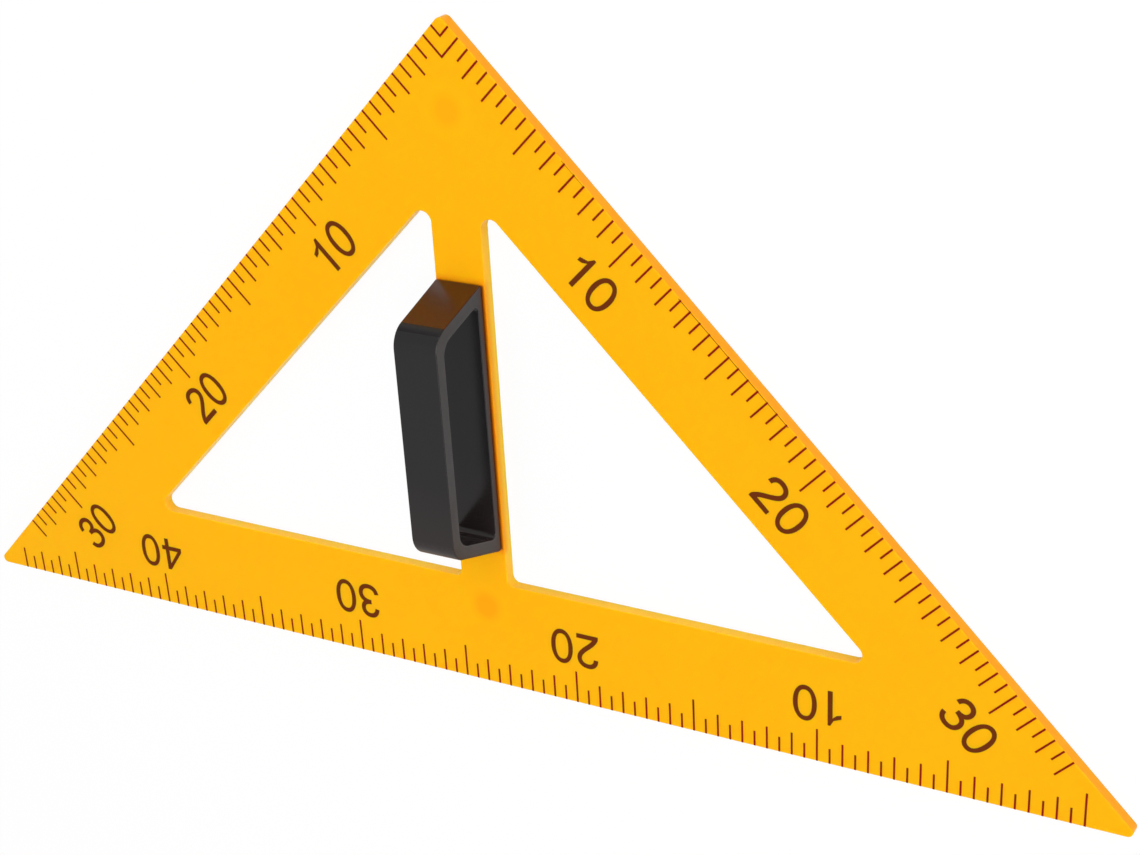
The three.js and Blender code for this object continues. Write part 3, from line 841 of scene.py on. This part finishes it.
def build_marks(side, material):
    """All marks of one side: straight ribbons that run from their reach to the edge and over it, and
    the side's hairlines."""
    numbers = np.array(side.marks)
    is_long, is_medium = numbers % LONG_MARK_EVERY == 0, numbers % MEDIUM_MARK_EVERY == 0
    reach = np.where(is_long, LONG_MARK_REACH, np.where(is_medium, MEDIUM_MARK_REACH, SHORT_MARK_REACH))
    edge, height, out, up = drape(-side.inward)
    inward = np.concatenate([reach[:, None], np.broadcast_to(edge, (len(numbers), len(edge)))], axis=1)
    along = np.broadcast_to((side.counting * (side.start + numbers * MARK_STEP))[:, None], inward.shape)
    height, out, up = (
        np.broadcast_to(np.concatenate([[first], part]), inward.shape)
        for first, part in ((PLATE_THICKNESS, height), (0, out), (1, up))
    )
    centres = side.place(0, 0) + along[..., None] * side.along + inward[..., None] * side.inward
    halves = side.along * MARK_WIDTH / 2
    points, faces = ribbons(centres, halves, -side.inward, height, out, up)
    faces = outward_faces(points, faces, (0, 0, 1))
    for start, end, width in HAIRLINES.get(side.name, ()):
        ends = side.place(side.counting * np.array([start, end]), np.full(2, edge_radius(-side.inward)))
        flat = np.zeros((1, 2))
        line, line_faces = ribbons(
            ends[None], side.inward * width / 2, -side.inward, flat + PLATE_THICKNESS, flat, flat + 1
        )
        faces = np.concatenate([faces, outward_faces(line, line_faces, (0, 0, 1)) + len(points)])
        points = np.concatenate([points, line])
    return make_piece(
        f"{side.name}_marks_print", points, [faces], [material], [f"{side.name}_marks"]
    )


def build_corner_mark(mark, material):
    """Two marks that meet at the right angle's middle line: one ribbon with a mitred turn, whose ends
    run over both edges."""
    right, left = np.array([cos(pi / 4), sin(pi / 4)]), np.array([-sin(pi / 4), cos(pi / 4)])
    corner = np.array([0, PLATE_HEIGHT - mark * MARK_STEP * sqrt(2)])
    right_drape, left_drape = drape(right), drape(left)
    reach = mark * MARK_STEP
    half = MARK_WIDTH / 2
    centres = np.concatenate([
        corner + (reach - right_drape[0])[::-1, None] * right, corner[None],
        corner + (reach - left_drape[0])[:, None] * left,
    ])
    arm = (DRAPE_STEPS + 1, 1)
    halves = -half * np.concatenate([np.tile(left, arm), (right + left)[None], np.tile(right, arm)])
    outward = np.concatenate([np.tile(right, arm), [[0, 0]], np.tile(left, arm)])
    height, out, up = (
        np.concatenate([first[::-1], [middle], last])
        for first, middle, last in zip(right_drape[1:], (PLATE_THICKNESS, 0, 1), left_drape[1:])
    )
    points, faces = ribbons(centres[None], halves[None], outward[None], height[None], out[None], up[None])
    faces = outward_faces(points, faces, (0, 0, 1))
    name = f"corner_mark_{mark}"
    return make_piece(f"{name}_print", points, [faces], [material], [name])


# Digits, drawn from the left edge and the baseline; the shares are of the digit's height

ZERO_HALF_WIDTH_SHARE = 0.326
ZERO_HALF_HEIGHT_SHARE = 0.514
ZERO_OUTER_POWER = 2.1
ZERO_INNER_POWER = 2.4
ONE_WIDTH_SHARE = 0.37
ONE_FLAG_SHARES = [(0.3, 1), (0.21, 0.84), (0, 0.745), (0, 0.635), (0.13, 0.675)]
ONE_NOTCH_SHARE = 0.775
TWO_WIDTH_SHARE = 0.646
TWO_CURVE_SHARES = [
    (0.088, 0.715), (0.096, 0.86), (0.19, 0.946), (0.322, 0.946),
    (0.475, 0.946), (0.583, 0.86), (0.583, 0.728),
    (0.583, 0.62), (0.51, 0.54), (0.41, 0.448),
    (0.285, 0.335), (0.13, 0.235), (0.055, 0.05),
]
TWO_HEEL_SHARE = 0.08
THREE_WIDTH_SHARE = 0.636
THREE_UPPER_SHARES = [
    (0.075, 0.722), (0.095, 0.87), (0.18, 0.948), (0.306, 0.948),
    (0.44, 0.948), (0.53, 0.86), (0.53, 0.74),
    (0.53, 0.6), (0.43, 0.525), (0.25, 0.525),
]
THREE_LOWER_SHARES = [
    (0.25, 0.525), (0.45, 0.525), (0.579, 0.44), (0.579, 0.28),
    (0.579, 0.13), (0.47, 0.043), (0.325, 0.043),
    (0.18, 0.043), (0.08, 0.12), (0.058, 0.262),
]
FOUR_WIDTH_SHARE = 0.69
FOUR_STEM_SHARE = 0.44
FOUR_BAR_SHARE = 0.238
FOUR_TOP_SHARE = 0.462
FOUR_COUNTER_TOP_SHARE = 0.8
FOUR_COUNTER_TIP_SHARE = 0.135


def bend(value, power):
    """The power of a cosine or sine that keeps its sign."""
    return np.sign(value) * np.abs(value) ** power


def oval(half_width, half_height, power):
    """A closed oval between an ellipse and a box: |x/a|^n + |y/b|^n = 1."""
    angle = 2 * pi * np.arange(ZERO_STEPS) / ZERO_STEPS
    x, y = half_width * bend(np.cos(angle), 2 / power), half_height * bend(np.sin(angle), 2 / power)
    return np.stack([x, y], axis=-1) + (ZERO_HALF_WIDTH_SHARE * DIGIT_HEIGHT, DIGIT_HEIGHT / 2)


def stroke_edges(shares):
    """Both edges of a stroke along a chain of cubic curves: B(t) = (1-t)^3 P0 + 3(1-t)^2 t P1 +
    3(1-t) t^2 P2 + t^3 P3, moved half a line width to either side of its tangent."""
    control = np.array(shares) * DIGIT_HEIGHT
    t = np.linspace(0, 1, CURVE_STEPS + 1)[:, None]
    rest = 1 - t
    points, tangents = [], []
    for first in range(0, len(control) - 1, 3):
        p0, p1, p2, p3 = control[first:first + 4]
        skip = 1 if first else 0
        point = rest ** 3 * p0 + 3 * rest ** 2 * t * p1 + 3 * rest * t ** 2 * p2 + t ** 3 * p3
        tangent = rest ** 2 * (p1 - p0) + 2 * rest * t * (p2 - p1) + t ** 2 * (p3 - p2)
        points.append(point[skip:])
        tangents.append(tangent[skip:])
    points, tangents = np.concatenate(points), unit(np.concatenate(tangents))
    across = np.stack([-tangents[:, 1], tangents[:, 0]], axis=-1) * DIGIT_STROKE / 2
    return points + across, points - across


def cross_product(a, b):
    """How far two flat directions turn from each other: zero where they are parallel."""
    return a[..., 0] * b[..., 1] - a[..., 1] * b[..., 0]


def crossing(first, second):
    """Where two chains of points first cross: the numbers of the two stretches and the point."""
    p, r = first[:-1, None], np.diff(first, axis=0)[:, None]
    q, s = second[None, :-1], np.diff(second, axis=0)[None]
    bottom = cross_product(r, s)
    bottom = np.where(bottom == 0, np.inf, bottom)
    t, u = cross_product(q - p, s) / bottom, cross_product(q - p, r) / bottom
    hits = np.argwhere((t >= 0) & (t <= 1) & (u >= 0) & (u <= 1))
    i, j = hits[0]
    return i, j, (p + t[..., None] * r)[i, j]


def glyph_zero():
    """An oval with a boxier oval hole."""
    half = np.array([ZERO_HALF_WIDTH_SHARE, ZERO_HALF_HEIGHT_SHARE]) * DIGIT_HEIGHT
    return [oval(*half, ZERO_OUTER_POWER), oval(*(half - DIGIT_STROKE), ZERO_INNER_POWER)]


def glyph_one():
    """An upright stroke with a flag that falls to the left."""
    right, flag = ONE_WIDTH_SHARE * DIGIT_HEIGHT, np.array(ONE_FLAG_SHARES) * DIGIT_HEIGHT
    left = right - DIGIT_STROKE
    notch = (left, ONE_NOTCH_SHARE * DIGIT_HEIGHT)
    return [np.array([(right, 0), (right, DIGIT_HEIGHT), *flag, notch, (left, 0)])]


def glyph_two():
    """The curve's two edges, cut off where they meet the foot."""
    outer, inner = stroke_edges(TWO_CURVE_SHARES)
    width, heel = TWO_WIDTH_SHARE * DIGIT_HEIGHT, TWO_HEEL_SHARE * DIGIT_HEIGHT
    right = outer[outer[:, 1] > DIGIT_STROKE]
    left = inner[(inner[:, 1] > heel) & (inner[:, 0] > 0)]
    foot = [(width, DIGIT_STROKE), (width, 0), (0, 0), (0, heel)]
    return [np.concatenate([right, foot, left[::-1]])[::-1]]


def glyph_three():
    """Both bowls' edges: the outer ones meet in a notch at the right, and the middle bar ends square."""
    upper_left, upper_right = stroke_edges(THREE_UPPER_SHARES)
    lower_left, lower_right = stroke_edges(THREE_LOWER_SHARES)
    upper, lower, notch = crossing(upper_left, lower_left)
    outer = np.concatenate([upper_left[:upper + 1], [notch], lower_left[lower + 1:]])
    inner = np.concatenate([upper_right, lower_right])
    return [np.concatenate([outer, inner[::-1]])]


def glyph_four():
    """A stem, a bar and a slope, round a triangular hole."""
    left, low, width, top, counter_top, counter_tip = DIGIT_HEIGHT * np.array([
        FOUR_STEM_SHARE, FOUR_BAR_SHARE, FOUR_WIDTH_SHARE, FOUR_TOP_SHARE, FOUR_COUNTER_TOP_SHARE,
        FOUR_COUNTER_TIP_SHARE,
    ])
    right, high = left + DIGIT_STROKE, low + DIGIT_STROKE
    outline = [
        (0, low), (left, low), (left, 0), (right, 0), (right, low), (width, low), (width, high),
        (right, high), (right, DIGIT_HEIGHT), (top, DIGIT_HEIGHT), (0, high),
    ]
    counter = [(counter_tip, high), (left, high), (left, counter_top)]
    return [np.array(outline), np.array(counter)]


ZERO_WIDTH = 2 * ZERO_HALF_WIDTH_SHARE * DIGIT_HEIGHT
TENS = [
    (glyph_one(), ONE_WIDTH_SHARE * DIGIT_HEIGHT, DIGIT_GAP_AFTER_ONE),
    (glyph_two(), TWO_WIDTH_SHARE * DIGIT_HEIGHT, DIGIT_GAP),
    (glyph_three(), THREE_WIDTH_SHARE * DIGIT_HEIGHT, DIGIT_GAP),
    (glyph_four(), FOUR_WIDTH_SHARE * DIGIT_HEIGHT, DIGIT_GAP),
]


def build_digit(side, node, loops, along, left, material):
    """A flat layer of ink inside a digit's outlines, which stands on its head in its side's axes. The
    first outline's wall looks outwards, and a hole's wall inwards."""
    placed = [
        side.place(along - left - loop[:, 0], NUMERAL_DISTANCE + DIGIT_HEIGHT - loop[:, 1]) for loop in loops
    ]
    flat = np.concatenate(placed)
    low, high = PLATE_THICKNESS - INK_SINK, PLATE_THICKNESS + INK_THICKNESS
    points = np.concatenate([np.column_stack([flat, np.full(len(flat), z)]) for z in (high, low)])
    firsts = np.cumsum([0] + [len(loop) for loop in placed[:-1]])
    faces = [flat_faces(placed, firsts, True), flat_faces(placed, firsts + len(flat), False)]
    for index, (first, loop) in enumerate(zip(firsts, placed)):
        number = first + np.arange(len(loop))
        after = first + (np.arange(len(loop)) + 1) % len(loop)
        x, y = loop.T
        area = np.sum(x * np.roll(y, -1) - np.roll(x, -1) * y)
        wall = np.stack([number, number + len(flat), after + len(flat), after], axis=-1)
        faces.append(wall if (area > 0) == (index == 0) else wall[:, ::-1])
    return make_piece(f"{node}_print", points, faces, [material], [node])


def build_numerals(side, material):
    """The side's whole tens, each with its two digits centred on its mark; the frame says how many."""
    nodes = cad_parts
    for tens, (glyph, width, gap) in enumerate(TENS, 1):
        name = f"{side.name}_{tens}0"
        if f"{name}_tens_digit" not in nodes:
            continue
        along = side.counting * (side.start + tens * NUMERAL_STEP)
        total = width + gap + ZERO_WIDTH
        build_digit(side, f"{name}_tens_digit", glyph, along, -total / 2, material)
        build_digit(side, f"{name}_units_digit", glyph_zero(), along, total / 2 - ZERO_WIDTH, material)


# Assembly

orange = plate_finish()
handle_materials = [
    handle_outer_finish(), handle_side_finish(), handle_end_painted_reflection_finish(), handle_shoulder_finish(),
]
mark_ink = ink_finish("red_brown_printing_ink", "#8c0c04", "#7e0903")
numeral_ink = ink_finish("dark_brown_printing_ink", "#6c2e05", "#612704")
zinc = zinc_finish()
ferrite = ferrite_finish()

build_plate(orange)
build_handle(handle_materials)
for name, y in SCREW_PLACES.items():
    build_screw(name, y, zinc)
for name, y in MAGNET_PLACES.items():
    build_magnet(name, y, ferrite)
for side in SIDES:
    build_marks(side, mark_ink)
    build_numerals(side, numeral_ink)
for mark in range(1, CORNER_MARKS + 1):
    build_corner_mark(mark, mark_ink)


# Studio, in metres and watts: a white floor, a large soft lamp overhead, two weak ones from the right
# and from beyond the right angle, and a dim sky

FLOOR_HALF = 6
FLOOR_GREY = (0.9, 0.9, 0.9, 1)
FLOOR_WHITE_SHARE = 0.9
FLOOR_WHITE_FADE = (0.35, 0.9)
SKY_STRENGTH_FAR = 0.45
SKY_STRENGTH_NEAR = 0.55
# Name, place, width and power; each lamp is aimed at the origin
LAMPS = (
    ("overhead_softbox", (0.4, 0.3, 1.8), 2.0, 27.5),
    ("right_fill", (1.7, 0.1, 0.45), 1.2, 5.4),
    ("far_fill", (-0.1, 1.7, 0.45), 1.2, 5.8),
)


def seen_white(tree, place):
    """How much of the floor is plain white: a share for the camera, gloss and glass, and else none. The
    share is less round the object, where its shadow falls, than far away."""
    path = add(tree, "ShaderNodeLightPath").outputs
    seen = maths(tree, "ADD", path["Is Camera Ray"], path["Is Glossy Ray"])
    seen = maths(tree, "ADD", seen, path["Is Transmission Ray"], use_clamp=True)
    away = vector_maths(tree, "LENGTH", place)
    level = ramp(tree, away, *FLOOR_WHITE_FADE, FLOOR_WHITE_SHARE, 1, interpolation_type="SMOOTHSTEP")
    return maths(tree, "MULTIPLY", seen, level)


def build_floor():
    """A matt white sheet under the object, as wide as the picture and more."""
    mesh = bpy.data.meshes.new("floor")
    corners = [(x * FLOOR_HALF, y * FLOOR_HALF, 0) for x, y in ((-1, -1), (1, -1), (1, 1), (-1, 1))]
    mesh.from_pydata(corners, [], [(0, 1, 2, 3)])
    material, tree, output, place = new_material("white_studio_floor")
    matt = add(tree, "ShaderNodeBsdfDiffuse", {"Color": FLOOR_GREY})
    white = add(tree, "ShaderNodeEmission", {"Color": (1, 1, 1, 1), "Strength": 1})
    mixed = add(tree, "ShaderNodeMixShader", {
        0: seen_white(tree, place), 1: matt.outputs[0], 2: white.outputs[0],
    })
    tree.links.new(mixed.outputs[0], output.inputs["Surface"])
    mesh.materials.append(material)
    floor = bpy.data.objects.new("floor", mesh)
    bpy.context.scene.collection.objects.link(floor)


def build_world():
    """A sky that is a little dimmer beyond the right angle. The camera sees it as white."""
    world = bpy.data.worlds.new("dim_studio")
    world.use_nodes = True
    tree = world.node_tree
    tree.nodes.clear()
    _, towards_far, _ = parts(tree, add(tree, "ShaderNodeTexCoord").outputs["Generated"])
    strength = ramp(tree, towards_far, -1, 1, SKY_STRENGTH_NEAR, SKY_STRENGTH_FAR)
    path = add(tree, "ShaderNodeLightPath").outputs
    level = ramp(tree, path["Is Camera Ray"], 0, 1, strength, 1)
    sky = add(tree, "ShaderNodeBackground", {"Color": (1, 1, 1, 1), "Strength": level})
    output = add(tree, "ShaderNodeOutputWorld")
    tree.links.new(sky.outputs[0], output.inputs["Surface"])
    bpy.context.scene.world = world


def add_softbox(name, place, size, watts):
    """A square lamp aimed at the origin."""
    light = bpy.data.lights.new(name, "AREA")
    light.shape = "SQUARE"
    light.size = size
    light.energy = watts
    lamp = bpy.data.objects.new(name, light)
    lamp.location = place
    lamp.rotation_euler = (-Vector(place)).to_track_quat("-Z", "Y").to_euler()
    bpy.context.scene.collection.objects.link(lamp)


def build_camera():
    """The photograph's camera. The picture is cropped off the lens's axis, so the lens is shifted."""
    data = bpy.data.cameras.new("camera")
    data.sensor_width = SENSOR_WIDTH
    data.lens = SENSOR_WIDTH * FOCAL_PIXELS / PICTURE_WIDTH
    data.shift_x = (PICTURE_WIDTH / 2 - PRINCIPAL_PIXEL[0]) / PICTURE_WIDTH
    data.shift_y = (PRINCIPAL_PIXEL[1] - PICTURE_HEIGHT / 2) / PICTURE_WIDTH
    back = -CAMERA_FORWARD.normalized()
    right = PICTURE_UP.cross(back).normalized()
    turn = Matrix((right, back.cross(right), back)).transposed().to_4x4()
    camera = bpy.data.objects.new("camera", data)
    camera.matrix_world = Matrix.Translation(CAMERA_PLACE) @ turn
    bpy.context.scene.collection.objects.link(camera)
    bpy.context.scene.camera = camera


build_floor()
build_world()
for lamp in LAMPS:
    add_softbox(*lamp)
build_camera()
bpy.context.scene.view_settings.view_transform = "Standard"
